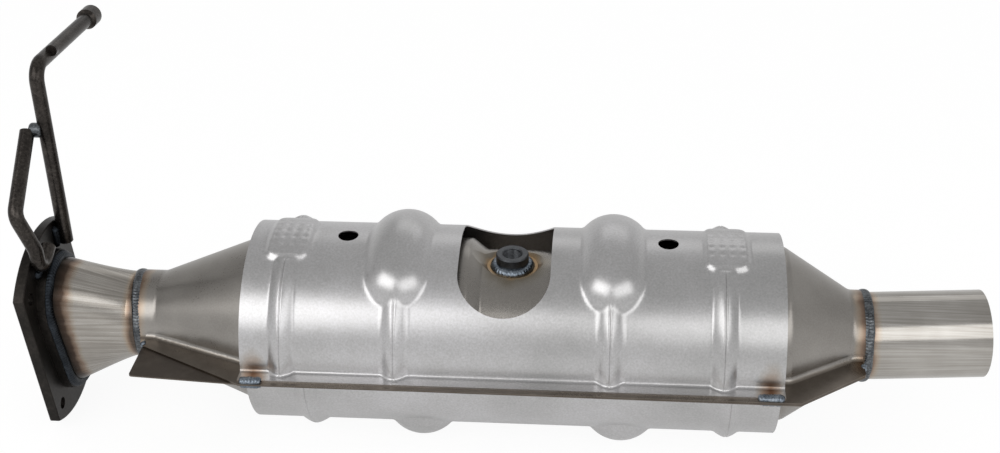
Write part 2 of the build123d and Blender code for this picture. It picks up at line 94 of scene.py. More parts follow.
# Materials
def linear(hexColour, alpha=1):
    # a screen colour as linear light
    parts = [int(hexColour[i:i + 2], 16) / 255 for i in (1, 3, 5)]
    return [c / 12.92 if c < 0.04045 else ((c + 0.055) / 1.055) ** 2.4 for c in parts] + [alpha]


def addNode(tree, kind, sockets=None, stops=None, **settings):
    node = tree.nodes.new(kind)
    for key, value in settings.items():
        setattr(node, key, value)
    for key, value in (sockets or {}).items():
        if isinstance(value, bpy.types.NodeSocket):
            tree.links.new(value, node.inputs[key])
        else:
            node.inputs[key].default_value = value
    if stops:
        ramp = node.color_ramp
        while len(ramp.elements) < len(stops):
            ramp.elements.new(0.5)
        for element, (place, colour) in zip(ramp.elements, stops):
            element.position = place
            element.color = colour
    return node


def newMaterial(name):
    material = bpy.data.materials.new(name)
    material.use_nodes = True
    tree = material.node_tree
    tree.nodes.clear()
    coords = addNode(tree, "ShaderNodeTexCoord").outputs["Object"]
    return material, tree, coords


noiseWay = {"perLump": 0.5, "roughness": 0.6, "detail": 2.0, "cloudDetail": 3.0, "fineDetail": 4.0}
noiseRange = (0.3, 0.7)  # the noise seldom leaves it


def grain(tree, coords, size, stretch=(1, 1, 1), detail=noiseWay["detail"]):
    # noise whose lumps are about size mm across, drawn out by stretch
    scale = [1 / s for s in stretch]
    laid = addNode(tree, "ShaderNodeMapping", {"Vector": coords, "Scale": scale})
    lumps = {"Vector": laid.outputs[0], "Scale": noiseWay["perLump"] / (size * mm), "Detail": detail,
             "Roughness": noiseWay["roughness"]}
    return addNode(tree, "ShaderNodeTexNoise", lumps).outputs["Fac"]


tintEdge = {"patch": 9, "wander": 0.6}  # mm across, and as a share of the tint's reach


def heatTintAndShade(tree, coords, colour, tint):
    # temper colours laid by the distance from a weld, in mm, with an uneven edge; a ramp's dark first stops
    # can also be painted shade
    at = Vector(tint["at"]) * mm
    away = addNode(tree, "ShaderNodeVectorMath", {0: coords, 1: at}, operation="SUBTRACT")
    kept = addNode(tree, "ShaderNodeVectorMath", {0: away.outputs[0], 1: tint["axes"]}, operation="MULTIPLY")
    length = addNode(tree, "ShaderNodeVectorMath", {0: kept.outputs[0]}, operation="LENGTH")
    reach = tint["reach"] * mm
    uneven = tintEdge["wander"] * reach
    patches = grain(tree, coords, tintEdge["patch"])
    drift = addNode(tree, "ShaderNodeMath", {0: patches, 1: uneven, 2: length.outputs["Value"]},
                    operation="MULTIPLY_ADD")
    start = tint.get("start", 0) * mm + uneven / 2
    share = addNode(tree, "ShaderNodeMapRange", {0: drift.outputs[0], 1: start, 2: start + reach, 3: 0, 4: 1})
    stops = [(place, linear(hexColour, alpha)) for place, hexColour, alpha in tint["colours"]]
    ramp = addNode(tree, "ShaderNodeValToRGB", {0: share.outputs[0]}, stops)
    mixed = {0: ramp.outputs["Alpha"], 6: colour, 7: ramp.outputs["Color"]}
    return addNode(tree, "ShaderNodeMix", mixed, data_type="RGBA").outputs[2]


def roundTube(tree, coords, tube):
    # places on a tube as (along, direction out from its centre), so that streaks follow its taper
    at = Vector(tube["at"]) * mm
    away = addNode(tree, "ShaderNodeVectorMath", {0: coords, 1: at}, operation="SUBTRACT")
    flat = addNode(tree, "ShaderNodeVectorMath", {0: away.outputs[0], 1: (0, 1, 1)}, operation="MULTIPLY")
    out = addNode(tree, "ShaderNodeVectorMath", {0: flat.outputs[0]}, operation="NORMALIZE")
    along = addNode(tree, "ShaderNodeVectorMath", {0: coords, 1: (1, 0, 0)}, operation="MULTIPLY")
    radius = [tube["radius"] * mm] * 3
    sockets = {0: out.outputs[0], 1: radius, 2: along.outputs[0]}
    return addNode(tree, "ShaderNodeVectorMath", sockets, operation="MULTIPLY_ADD").outputs[0]


def metal(name, look):
    # a metal whose colour, gloss and relief all follow the same grain
    material, tree, coords = newMaterial(name)
    cloud = grain(tree, coords, look["cloud"], detail=noiseWay["cloudDetail"])
    laid = roundTube(tree, coords, look["tube"]) if "tube" in look else coords
    fine = grain(tree, laid, look["grain"], look.get("stretch", (1, 1, 1)), noiseWay["fineDetail"])
    mixed = {0: look["fineShare"], 2: cloud, 3: fine}
    blend = addNode(tree, "ShaderNodeMix", mixed, data_type="FLOAT").outputs[0]
    tones = look["tones"]
    dark, light = noiseRange
    stops = [(dark + (light - dark) * i / (len(tones) - 1), linear(tone)) for i, tone in enumerate(tones)]
    colour = addNode(tree, "ShaderNodeValToRGB", {0: blend}, stops).outputs["Color"]
    for tint in look.get("tints", ()):
        colour = heatTintAndShade(tree, coords, colour, tint)
    low, high = look["roughness"]
    rough = addNode(tree, "ShaderNodeMapRange", {0: blend, 1: dark, 2: light, 3: low, 4: high})
    relief = {"Strength": look["bump"], "Distance": look["relief"] * mm, "Height": fine}
    bump = addNode(tree, "ShaderNodeBump", relief)
    sockets = {"Base Color": colour, "Metallic": look.get("metallic", 1.0), "Roughness": rough.outputs[0],
               "Normal": bump.outputs[0]}
    shader = addNode(tree, "ShaderNodeBsdfPrincipled", sockets)
    addNode(tree, "ShaderNodeOutputMaterial", {"Surface": shader.outputs[0]})
    return material


# temper colours from the weld outwards, one of them also painted shade: (place, colour, strength)
# its first, near-black stops are painted shade in the corner beside the flange; the later stops are bronze
# temper colour
bronzeAndFlangeShade = ((0, "#1d1611", 0.97), (0.35, "#3d2d23", 0.94), (0.65, "#80634b", 0.65), (1, "#ab9a82", 0))
copper = ((0, "#4a3a2e", 0.85), (0.3, "#85674f", 0.7), (0.6, "#b59a7c", 0.4), (1, "#b8a890", 0))
brown = ((0, "#4a4037", 0.85), (0.6, "#6f6355", 0.6), (1, "#b0a08a", 0))
straw = ((0, "#7d5a3c", 0.85), (0.5, "#9c7c5a", 0.5), (1, "#a39880", 0))
gold = ((0, "#4f4230", 0.9), (0.3, "#a07c48", 0.75), (0.5, "#6f6450", 0.6), (1, "#8c8778", 0))

# aluminised sheet, cold rolled: a pale grey, satin metal with a fine speckle
aluminisedLook = {
    "cloud": 60, "grain": 0.9, "fineShare": 0.45,
    "tones": ("#b2b2b1", "#c8c7c7", "#dedddf"),
    "roughness": (0.27, 0.37), "bump": 0.35, "relief": 0.05,
    "tints": [
        {"at": (206, 0, 8.9), "axes": (1, 0, 0.6), "reach": 14, "colours": straw},
        {"at": (640, 0, 8.9), "axes": (1, 0, 0.6), "reach": 14, "colours": straw},
    ],
}
# stainless sheet, drawn and blasted: warm grey satin, with temper colours beside the welds
shellLook = {
    "cloud": 40, "grain": 0.7, "fineShare": 0.35,
    "tones": ("#8b8782", "#9b9792", "#aba7a2"),
    "roughness": (0.24, 0.34), "bump": 0.1, "relief": 0.03,
    "tints": [
        {"at": (88, 0, 0), "axes": (1, 0, 0), "reach": 11, "colours": copper},
        {"at": (724, 0, 0), "axes": (1, 0, 0), "reach": 11, "colours": copper},
        {"at": (0, 0, 6.2), "axes": (0, 0, 1), "reach": 3.5, "colours": brown},
        {"at": (420.8, 4.2, 0), "axes": (1, 1, 0), "reach": 20, "start": 15, "colours": gold},
    ],
}
# stainless tube, belt ground along its length: bright streaks, bronze where it was welded, and painted shade,
# near black, just past the flange weld
inletPipeLook = {
    "cloud": 30, "grain": 0.9, "stretch": (60, 1, 1), "fineShare": 0.75,
    "tube": {"at": (0, 2.1, 3.1), "radius": 38},
    "tones": ("#89847d", "#a7a29b", "#c8c4be"),
    "roughness": (0.2, 0.3), "bump": 0.06, "relief": 0.03,
    "tints": [
        # painted shade, near black, on the pipe just past the flange weld, fading into a bronze temper colour
        {"at": (19, 0, 0), "axes": (1, 0, 0), "reach": 15, "start": 4, "colours": bronzeAndFlangeShade},
        {"at": (86, 0, 0), "axes": (1, 0, 0), "reach": 8, "start": 2, "colours": copper},
    ],
}
# stainless tube, mill polished: near mirror, faint drawing lines
outletPipeLook = {
    "cloud": 30, "grain": 0.8, "stretch": (60, 1, 1), "fineShare": 0.6,
    "tube": {"at": (0, 6.9, 7.3), "radius": 38},
    "tones": ("#9e9992", "#b6b2ac", "#cdcac5"),
    "roughness": (0.12, 0.2), "bump": 0.06, "relief": 0.03,
    "tints": [{"at": (728, 0, 0), "axes": (1, 0, 0), "reach": 10, "colours": copper}],
}
# mild steel plate, hot rolled: dark grey brown scale, dull, its tones darkened further as painted shade for
# the flange's shaded back face
flangeScaleAndShadeLook = {
    "cloud": 18, "grain": 1.6, "fineShare": 0.5,
    # partly the plate's dark scale, partly painted shade: these tones are halved to stand for the shade on
    # the flange's back face
    "tones": ("#1b1917", "#2a2724", "#3f3a36"),
    "roughness": (0.3, 0.5), "bump": 0.5, "relief": 0.15, "metallic": 0.85,
}
# drawn bar, black oxide: dark grey brown, half glossy
rodLook = {
    "cloud": 14, "grain": 1.1, "fineShare": 0.5,
    "tones": ("#242220", "#403c39", "#605b56"),
    "roughness": (0.2, 0.36), "bump": 0.25, "relief": 0.08, "metallic": 0.95,
}
# steel weld metal, as laid: dark grey with glossy ripples
weldLook = {
    "cloud": 5, "grain": 0.8, "fineShare": 0.5,
    "tones": ("#35373a", "#5e6164", "#94989b"),
    "roughness": (0.2, 0.42), "bump": 0.5, "relief": 0.12,
}
# the same metal laid on thick plate: nearly black, partly its scale and partly painted shade, a darker copy
# for the flange's shaded back face
scaledWeldAndShadeLook = {
    "cloud": 6, "grain": 0.9, "fineShare": 0.5,
    # painted shade: these tones are darker than the weld metal's for the welds on the flange's shaded back
    # face
    "tones": ("#1a1c1f", "#2c3035", "#454b52"),
    "roughness": (0.28, 0.5), "bump": 0.5, "relief": 0.12,
}
# short welds on thin sheet: quick and cool, blue grey
tackLook = {
    "cloud": 4, "grain": 0.8, "fineShare": 0.5,
    "tones": ("#4a525b", "#78818b", "#a9b1b9"),
    "roughness": (0.2, 0.4), "bump": 0.5, "relief": 0.12,
}
# turned steel, dulled by the weld's heat: dark grey satin
bungLook = {
    "cloud": 8, "grain": 0.6, "fineShare": 0.5,
    "tones": ("#46484b", "#5a5c5f", "#727477"),
    "roughness": (0.3, 0.48), "bump": 0.3, "relief": 0.05,
}
# cordierite with washcoat: chalky grey brown, matt
ceramicLook = {
    "cloud": 20, "grain": 1.0, "fineShare": 0.6,
    "tones": ("#7a7061", "#8c8272", "#9c9282"),
    "roughness": (0.85, 0.95), "bump": 0.4, "relief": 0.1, "metallic": 0.0,
}
# needled ceramic fibre: off-white, matt felt
matLook = {
    "cloud": 10, "grain": 0.8, "stretch": (1, 4, 4), "fineShare": 0.7,
    "tones": ("#b3ab9b", "#c6beaf", "#d6d0c3"),
    "roughness": (0.9, 1.0), "bump": 0.8, "relief": 0.3, "metallic": 0.0,
}
# knitted stainless wire: bright and dark loops
meshLook = {
    "cloud": 5, "grain": 0.7, "fineShare": 0.8,
    "tones": ("#4a4a49", "#7f7f7d", "#b0b0ae"),
    "roughness": (0.3, 0.5), "bump": 0.9, "relief": 0.3,
}

aluminised = metal("aluminisedSheet", aluminisedLook)
shellSteel = metal("drawnStainlessSheet", shellLook)
inletSteel = metal("beltGroundStainlessTube", inletPipeLook)
outletSteel = metal("millPolishedStainlessTube", outletPipeLook)
flangeScaleAndShade = metal("hotRolledPlateAndPaintedShade", flangeScaleAndShadeLook)
rodSteel = metal("blackDrawnBar", rodLook)
weldMetal = metal("weldMetalAsLaid", weldLook)
scaledWeldAndShade = metal("scaledWeldMetalAndPaintedShade", scaledWeldAndShadeLook)
tackMetal = metal("tackWeldMetal", tackLook)
bungSteel = metal("turnedSteel", bungLook)
ceramic = metal("washcoatedCordierite", ceramicLook)
fibreMat = metal("needledFibreMat", matLook)
wireMesh = metal("knittedStainlessWire", meshLook)
print("materials made")

finishes = {
    "inlet_flange": flangeScaleAndShade,
    "inlet_flange_weld": scaledWeldAndShade,
    "inlet_pipe": inletSteel,
    "inlet_pipe_weld": weldMetal,
    "upper_shell": shellSteel,
    "lower_shell": shellSteel,
    "upper_heat_shield": aluminised,
    "lower_heat_shield": aluminised,
    "shield_tack_welds": tackMetal,
    "seam_end_welds": tackMetal,
    "oxygen_sensor_bung": bungSteel,
    "bung_weld": tackMetal,
    "outlet_pipe": outletSteel,
    "outlet_pipe_weld": weldMetal,
    "hanger_rod": rodSteel,
    "brace_rod": rodSteel,
    "brace_weld": weldMetal,
    "rod_flange_welds": scaledWeldAndShade,
    "front_monolith": ceramic,
    "rear_monolith": ceramic,
    "front_mat": fibreMat,
    "rear_mat": fibreMat,
    "front_seals": wireMesh,
    "rear_seals": wireMesh,
}
for name, material in finishes.items():
    for holder in nodes[name].material_slots:
        holder.material = material


# Meshes
mergeWithin = 0.004  # mm


def newPiece(name, bm, node, shift=bodyAxis, sharp=35):
    # closes seams, carries the mesh to its place and gives it the node's finish
    # an edge folded by more than sharp degrees shows as an edge
    bmesh.ops.remove_doubles(bm, verts=bm.verts, dist=mergeWithin)
    bmesh.ops.recalc_face_normals(bm, faces=bm.faces)
    bmesh.ops.translate(bm, verts=bm.verts, vec=shift)
    bmesh.ops.scale(bm, verts=bm.verts, vec=(mm, mm, mm))
    for face in bm.faces:
        face.smooth = True
    for edge in bm.edges:
        edge.smooth = not edge.is_manifold or edge.calc_face_angle(0) < math.radians(sharp)
    mesh = bpy.data.meshes.new(name)
    bm.to_mesh(mesh)
    bm.free()
    mesh.materials.append(finishes[node])
    piece = bpy.data.objects.new(name, mesh)
    bpy.context.scene.collection.objects.link(piece)
    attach(piece, "root")
    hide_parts(node)
    return piece


def smoothMax(a, b, blend):
    reach = max(blend - abs(a - b), 0) / blend
    return max(a, b) + reach * reach * blend / 4


def smoothMin(a, b, blend):
    return -smoothMax(-a, -b, blend)


def lineUp(stops):
    # places of grid lines, from runs of (start, end, spacing)
    places = []
    for start, end, spacing in stops:
        count = max(1, round((end - start) / spacing))
        places += [start + (end - start) * i / count for i in range(count)]
    return places + [stops[-1][1]]


def flatGrid(xs, ys):
    bm = bmesh.new()
    bmesh.ops.create_grid(bm, x_segments=len(xs) - 1, y_segments=len(ys) - 1, size=0.5)
    for vert in bm.verts:
        i = round((vert.co.x + 0.5) * (len(xs) - 1))
        j = round((vert.co.y + 0.5) * (len(ys) - 1))
        vert.co = (xs[i], ys[j], 0)
    return bm


# Heat shields: sheet pressed over a drum. In the flat, u runs round the drum from the crown.
shield = {
    "radius": 87.5,
    "sheet": 1.2,
    "foot": 2.7,  # height of the foot's face above the seam
    "footHalf": 100.5,
    "bend": 3.0,
    "edge": 0.25,
    "domeMinor": 34.5,
    "domeSpread": math.radians(29),
    "domeBlend": 2.2,
    "domeEnd": 1.0,  # radians past the spread, where a dome is long over
    "ribHeight": 5.0,
    "ribHalf": 10.6,
    "ribPower": 1.5,  # above 1 the sides are steeper than the top
    "creaseDepth": 0.8,  # the fold line along each rib's crest
    "creaseHalf": 0.9,
    "ribGrow": 2.0,  # height that a rib would have gained a quarter turn from the crown
    "ribGrowSpan": 1.57,  # radians, the quarter turn
    "ribRunout": 0.9,  # slope of the rib's end
    "ribEndBlend": 1.5,
    "ribBlend": 0.9,
    "padHeight": 4.0,
    "padHalf": 20.6,
    "padReach": 35.2,
    "padCorner": 11.0,
    "padSlope": 0.85,
    "padTopBlend": 1.4,
    "padBlend": 1.2,
    "dentDepth": 0.6,
    "dentRadius": 2.4,
    "dentPitch": 8.8,
    "dentColumns": 4,
    "dentRows": 5,
    "dentFade": 1.2,
    "dentReach": 2.2,  # in dent radii, past which a dent adds next to nothing
    "sharp": 60,
}
nearby = {"rib": 20, "dome": 46, "pad": (25, 40)}  # mm, past which a pressing adds nothing
holeRim = {"band": 6, "passes": 3, "ease": 0.4}  # mm round a hole, and how the mesh beside it is evened
# how fine the sheet's grid is, in mm
sheetGrid = {
    "plain": 2.2,
    "pad": 1.1,
    "padSpan": 22,
    "crown": 30,
    "crownPitch": 1.3,
    "round": 2.3,
    "beforeBend": 4,
    "bend": 0.75,
    "foot": 3.4,
}
outOfDome = -20  # mm, a rise that loses against every other one
upperShield = {
    "ends": (194.4, 652.0),
    "domes": (325.6, 508.1),
    "domeHeight": 13.0,
    "ribs": ((229.6, 20.5), (326.0, 40.0), (506.9, 40.0), (601.6, 20.5)),  # place, start in degrees
    "pads": (229.4, 603.8),
    "window": (416.3, 39.3, 81.55),  # place, half width, reach round the drum
    "holes": ((278.2, 8.8), (554.6, 8.8)),
}
lowerShield = {
    "ends": (197.6, 650.1),
    "domes": (342.8, 517.3),
    "domeHeight": 12.0,
    "ribs": ((248.6, 0.0), (609.2, 0.0)),
    "pads": (),
    "window": None,
    "holes": (),
}


def domeRise(x, angle, place, height):
    # a ball swept round the drum, as far as domeSpread to each side of the crown
    centre = shield["radius"] + height - shield["domeMinor"]
    over = max(abs(angle) - shield["domeSpread"], 0)
    room = shield["domeMinor"] ** 2 - (x - place) ** 2 - (centre * math.sin(over)) ** 2
    if room <= 0 or over > shield["domeEnd"]:
        return outOfDome
    return centre * math.cos(over) + math.sqrt(room) - shield["radius"]


def ribRise(x, angle, place, start):
    # a ridge round the drum with a fold along its crest, running out start degrees from the crown
    across = abs(x - place)
    height = shield["ribHeight"] + shield["ribGrow"] * (angle / shield["ribGrowSpan"]) ** 2
    crease = max(0, 1 - across / shield["creaseHalf"]) * shield["creaseDepth"]
    run = (abs(angle) - math.radians(start)) * shield["radius"]
    section = height * (1 - (across / shield["ribHalf"]) ** shield["ribPower"])
    return smoothMin(section - crease, run * shield["ribRunout"], shield["ribEndBlend"])


def padRise(x, u, place):
    # a low plateau with round corners, sunk dots on its top
    corner = shield["padCorner"]
    besideX = abs(x - place) - (shield["padHalf"] - corner)
    besideU = abs(u) - (shield["padReach"] - corner)
    out = math.hypot(max(besideX, 0), max(besideU, 0)) + min(max(besideX, besideU), 0) - corner
    rise = smoothMin(-out * shield["padSlope"], shield["padHeight"], shield["padTopBlend"])
    for column in range(shield["dentColumns"]):
        dentX = place + (column - (shield["dentColumns"] - 1) / 2) * shield["dentPitch"]
        for row in range(shield["dentRows"]):
            dentU = (row - (shield["dentRows"] - 1) / 2) * shield["dentPitch"]
            away = math.hypot(x - dentX, u - dentU) / shield["dentRadius"]
            if away < shield["dentReach"]:
                rise -= shield["dentDepth"] * math.exp(-away * away * shield["dentFade"])
    return rise


def shieldRise(x, u, made):
    # the pressings that are near enough to matter, each blended into the one before
    angle = u / shield["radius"]
    rise = 0.0
    for place, start in made["ribs"]:
        if abs(x - place) < nearby["rib"]:
            rise = smoothMax(rise, ribRise(x, angle, place, start), shield["ribBlend"])
    for place in made["domes"]:
        if abs(x - place) < nearby["dome"]:
            rise = smoothMax(rise, domeRise(x, angle, place, made["domeHeight"]), shield["domeBlend"])
    padX, padU = nearby["pad"]
    for place in made["pads"]:
        if abs(x - place) < padX and abs(u) < padU:
            rise = smoothMax(rise, padRise(x, u, place), shield["padBlend"])
    return rise


def bendSpan():
    # round the drum to the bend, round the bend, and how far out the flat foot starts
    outer = shield["radius"] + shield["bend"]
    level = shield["foot"] + shield["bend"]
    turn = math.acos(level / outer)
    return shield["radius"] * turn, shield["bend"] * turn, math.sqrt(outer**2 - level**2)


def shieldPoint(x, u, made):
    # from the flat sheet to its place: round the drum, round the bend, then out along the foot
    arch, turn, footStart = bendSpan()
    way = 1 if u > 0 else -1
    flat = abs(u)
    rise = shieldRise(x, min(flat, arch) * way, made)
    outer = shield["radius"] + rise + shield["bend"]
    level = shield["foot"] + shield["bend"]
    last = math.acos(level / outer)
    centreY = math.sqrt(outer * outer - level * level)
    if flat <= arch:
        angle = flat / arch * last
        radius = shield["radius"] + rise
        return Vector((x, way * radius * math.sin(angle), radius * math.cos(angle)))
    if flat <= arch + turn:
        angle = (1 - (flat - arch) / turn) * last
        y = centreY - shield["bend"] * math.sin(angle)
        return Vector((x, way * y, level - shield["bend"] * math.cos(angle)))
    share = (flat - arch - turn) / (shield["footHalf"] - footStart)
    return Vector((x, way * (centreY + (shield["footHalf"] - centreY) * share), shield["foot"]))


def cutHole(bm, place, half, straight):
    # a slot across the sheet: cells inside go, and the rim is drawn on to the outline
    def spine(co):
        return Vector((place, max(-straight, min(straight, co.y)), 0))

    inside = [f for f in bm.faces if (f.calc_center_median() - spine(f.calc_center_median())).length < half]
    bmesh.ops.delete(bm, geom=inside, context="FACES")
    band = half + holeRim["band"]
    rim = [v for v in bm.verts if v.is_boundary and (v.co - spine(v.co)).length < band]
    for vert in rim:
        middle = spine(vert.co)
        vert.co = middle + (vert.co - middle).normalized() * half
    fixed = set(rim)
    near = {e.other_vert(v) for v in rim for e in v.link_edges} - fixed
    for step in range(holeRim["passes"]):
        bmesh.ops.smooth_vert(bm, verts=list(near), factor=holeRim["ease"], use_axis_x=True, use_axis_y=True)


def columnStops(made):
    # closer grid lines under the pads, closest at the creases
    fold = shield["creaseHalf"]
    span = sheetGrid["padSpan"]
    close = [(place - span, place + span, sheetGrid["pad"]) for place in made["pads"]]
    marks = set(made["ends"])
    for place, _ in made["ribs"]:
        marks |= {place - fold, place + fold}
    for x0, x1, pitch in close:
        marks |= {x0, x1}
    stops = []
    edges = sorted(marks)
    for start, end in zip(edges, edges[1:]):
        middle = (start + end) / 2
        pitch = min([sheetGrid["plain"]] + [p for x0, x1, p in close if x0 < middle < x1])
        if end - start < 2.1 * fold:  # between a crease's two edges
            pitch = fold / 2
        stops.append((start, end, pitch))
    return stops


def makeShield(name, made, node):
    # a flat grid is cut and pressed, then given its thickness and soft edges
    arch, turn, footStart = bendSpan()
    full = arch + turn + shield["footHalf"] - footStart
    crown, nearBend = sheetGrid["crown"], arch - sheetGrid["beforeBend"]
    half = [
        (0, crown, sheetGrid["crownPitch"] if made["pads"] else sheetGrid["round"]),
        (crown, nearBend, sheetGrid["round"]),
        (nearBend, arch, sheetGrid["crownPitch"]),
        (arch, arch + turn, sheetGrid["bend"]),
        (arch + turn, full, sheetGrid["foot"]),
    ]
    stops = [(-end, -start, pitch) for start, end, pitch in reversed(half)] + half
    bm = flatGrid(lineUp(columnStops(made)), lineUp(stops))
    if made["window"]:
        place, width, reach = made["window"]
        cutHole(bm, place, width, reach - width)
    for place, radius in made["holes"]:
        cutHole(bm, place, radius, 0)
    for vert in bm.verts:
        vert.co = shieldPoint(vert.co.x, vert.co.y, made)
    if node == "lower_heat_shield":
        bmesh.ops.rotate(bm, verts=bm.verts, matrix=Matrix.Rotation(math.pi, 3, "X"))
    piece = newPiece(name, bm, node, sharp=shield["sharp"])
    wall = piece.modifiers.new("wall", "SOLIDIFY")
    wall.thickness = shield["sheet"] * mm
    wall.offset = -1
    wall.use_even_offset = True
    edge = piece.modifiers.new("edge", "BEVEL")
    edge.width = shield["edge"] * mm
    edge.segments = 2
    edge.limit_method = "ANGLE"
    edge.angle_limit = math.radians(shield["sharp"])
    edge.harden_normals = True


makeShield("upperHeatShield", upperShield, "upper_heat_shield")
makeShield("lowerHeatShield", lowerShield, "lower_heat_shield")
print("heat shields pressed")


# Weld beads: a round top with ripples, on a base sunk in the metal under it
bead = {
    "pitch": 2.7,  # from one ripple to the next
    "ripple": 0.45,
    "level": 0.6,  # what a ripple swings about, as a share of its height
    "lag": 0.5,  # how far a ripple trails at the bead's edges, in ripples
    "wander": 0.45,
    "wanderPace": 3.1,
    "swell": 0.12,
    "swellPace": 4.3,
    "swellShift": (7, 0, 0),  # keeps the swell apart from the wander
    "openRun": 2,  # how much of the noise an open bead runs through
    "endPower": 6,  # the higher, the later an open bead narrows towards its ends
    "sharp": 50,
    "step": 0.5,
    "sink": 1.2,
}
roundShare = 0.8  # how much of the section's grid lies on the round top
roundSteps = 14
baseStops = (0.87, 0.93, 1.0)  # the base's two corners, and back to the start
ringWelds = {
    "inletPipeWeld": {"node": "inlet_pipe_weld", "at": 86.0, "tilt": 8.0},
    "outletPipeWeld": {"node": "outlet_pipe_weld", "at": 726.8, "tilt": 0.0},
}
ringWeld = {"radius": 38.4, "half": 4.3, "height": 2.1}
portWeld = {"half": 4.9, "height": 4.0, "at": 17.9, "flat": 33.0, "radius": 35.6, "roll": 14.5}
bungWeld = {"at": (420.8, 0, 62.3), "radius": 15.4, "half": 4.2, "height": 3.1, "lean": 0.9}
tackWeld = {
    "spans": ((195.8, 215.4), (628.8, 651.4)),
    "side": 100.6,
    "level": 2.0,
    "lean": 0.35,
    "half": 4.1,
    "height": 2.9,
}


def beadSection(share, half, height, sink):
    # once round the section: the round top, then down into the metal and back under it
    if share <= roundShare:
        angle = math.pi * share / roundShare
        return half * math.cos(angle), height * math.sin(angle)
    first, second, last = baseStops
    side = -1 if share < (first + second) / 2 else 1
    return side * half, 0 if share > (second + last) / 2 else -sink


def makeBead(name, node, frameAt, length, size, shift=bodyAxis, closed=True, seed=0.0):
    # frameAt gives the place, the direction across the bead and the direction out of the metal
    half, height = size["half"], size["height"]
    count = round(length / bead["step"])
    section = [roundShare * i / roundSteps for i in range(roundSteps + 1)] + list(baseStops)
    bm = flatGrid([i / count for i in range(count + 1)], section)
    ripples = max(1, round(length / bead["pitch"]))
    for vert in bm.verts:
        way, share = vert.co.x, vert.co.y
        turned = tau * way if closed else way
        spot = (math.cos(turned), math.sin(turned), seed) if closed else (way * bead["openRun"], 0, seed)
        drift = noise.noise(Vector(spot) * bead["wanderPace"]) * bead["wander"]
        swellSpot = Vector(spot) * bead["swellPace"] + Vector(bead["swellShift"])
        swell = 1 + noise.noise(swellSpot) * bead["swell"]
        fade = 1 if closed else math.sqrt(max(1 - (abs(2 * way - 1) ** bead["endPower"]), 0))
        across, out = beadSection(share, half * swell * fade, height * swell * fade, bead["sink"] * fade)
        if 0 < share < roundShare:
            phase = way * ripples - bead["lag"] * abs(across) / half
            wave = abs(math.sin(math.pi * phase)) - bead["level"]
            out += wave * bead["ripple"] * fade * math.sin(math.pi * share / roundShare)
        place, side, normal = frameAt(way)
        vert.co = place + side * (across + drift * fade) + normal * out
    newPiece(name, bm, node, shift, sharp=bead["sharp"])


def ringFrame(way, weld):
    tilt = math.radians(weld["tilt"])
    angle = tau * way
    normal = Vector((-math.sin(tilt) * math.sin(angle), math.cos(tilt) * math.sin(angle), math.cos(angle)))
    side = Vector((math.cos(tilt), math.sin(tilt), 0))
    return Vector((weld["at"], 0, 0)) + normal * ringWeld["radius"], side, normal


def portFrame(way):
    # once round the oval: half round, straight, half round, straight
    flat, radius = 2 * portWeld["flat"], portWeld["radius"]
    run = way * (2 * flat + tau * radius)
    bow = math.pi * radius
    upper = run < bow + flat
    run = run if upper else run - bow - flat
    turn = min(run, bow) / radius
    normal = Vector((0, math.cos(turn), math.sin(turn)))
    place = normal * radius + Vector((0, 0, portWeld["flat"] - max(run - bow, 0)))
    if not upper:
        place, normal = -place, -normal
    roll = Matrix.Rotation(math.radians(portWeld["roll"]), 3, "X")
    place, normal = roll @ place, roll @ normal
    ahead = Vector((1, 0, 0))
    return place + ahead * portWeld["at"], (ahead - normal).normalized(), (ahead + normal).normalized()


def bungFrame(way):
    outward = Vector((math.cos(tau * way), math.sin(tau * way), 0))
    up = Vector((0, 0, 1))
    place = Vector(bungWeld["at"]) + outward * bungWeld["radius"]
    return place, (outward - up).normalized(), (outward + up * bungWeld["lean"]).normalized()


ring = tau * ringWeld["radius"]
for name, weld in ringWelds.items():
    makeBead(name, weld["node"], lambda way: ringFrame(way, weld), ring, ringWeld, seed=weld["at"])
oval = 4 * portWeld["flat"] + tau * portWeld["radius"]
makeBead("inletFlangeWeld", "inlet_flange_weld", portFrame, oval, portWeld, Vector((0, 0, 0)))
makeBead("bungWeld", "bung_weld", bungFrame, tau * bungWeld["radius"], bungWeld)


def tackFrame(way, start, end, side, face):
    place = Vector((start + (end - start) * way, side * tackWeld["side"], face * tackWeld["level"]))
    normal = Vector((0, side * tackWeld["lean"], face)).normalized()
    return place, Vector((0, normal.z, -normal.y)), normal


for side in (-1, 1):
    for face in (-1, 1):
        for place, (start, end) in zip(("Front", "Rear"), tackWeld["spans"]):
            label = f"tackWeld{place}{'Far' if side > 0 else 'Near'}{'Top' if face > 0 else 'Bottom'}"
            # each tack has a seed of its own, so that no two wander alike
            makeBead(label, "shield_tack_welds", lambda way: tackFrame(way, start, end, side, face),
                     end - start, tackWeld, closed=False, seed=start + 5 * side + face)


# Lumps that close the four ends of the shells' seams, wrapped round the sheets' edges
seamLump = {
    "stations": (99.0, 722.0),
    "side": 49.45,
    "size": (2.6, 3.2, 3.2),
    "rough": 0.25,
    "pace": 1.6,
    "seed": 0.1,  # times the lump's place, so that no two are alike
    "fineness": 4,
}


def makeLump(name, at):
    bm = bmesh.new()
    bmesh.ops.create_icosphere(bm, subdivisions=seamLump["fineness"], radius=1)
    seed = Vector(at) * seamLump["seed"]
    for vert in bm.verts:
        swell = 1 + noise.noise(vert.co * seamLump["pace"] + seed) * seamLump["rough"]
        vert.co = Vector(at) + Vector([c * s * swell for c, s in zip(vert.co, seamLump["size"])])
    newPiece(name, bm, "seam_end_welds")


for end, station in zip(("Front", "Rear"), seamLump["stations"]):
    makeLump(f"seamLump{end}Near", (station, -seamLump["side"], 0))
    makeLump(f"seamLump{end}Far", (station, seamLump["side"], 0))
print("welds laid")


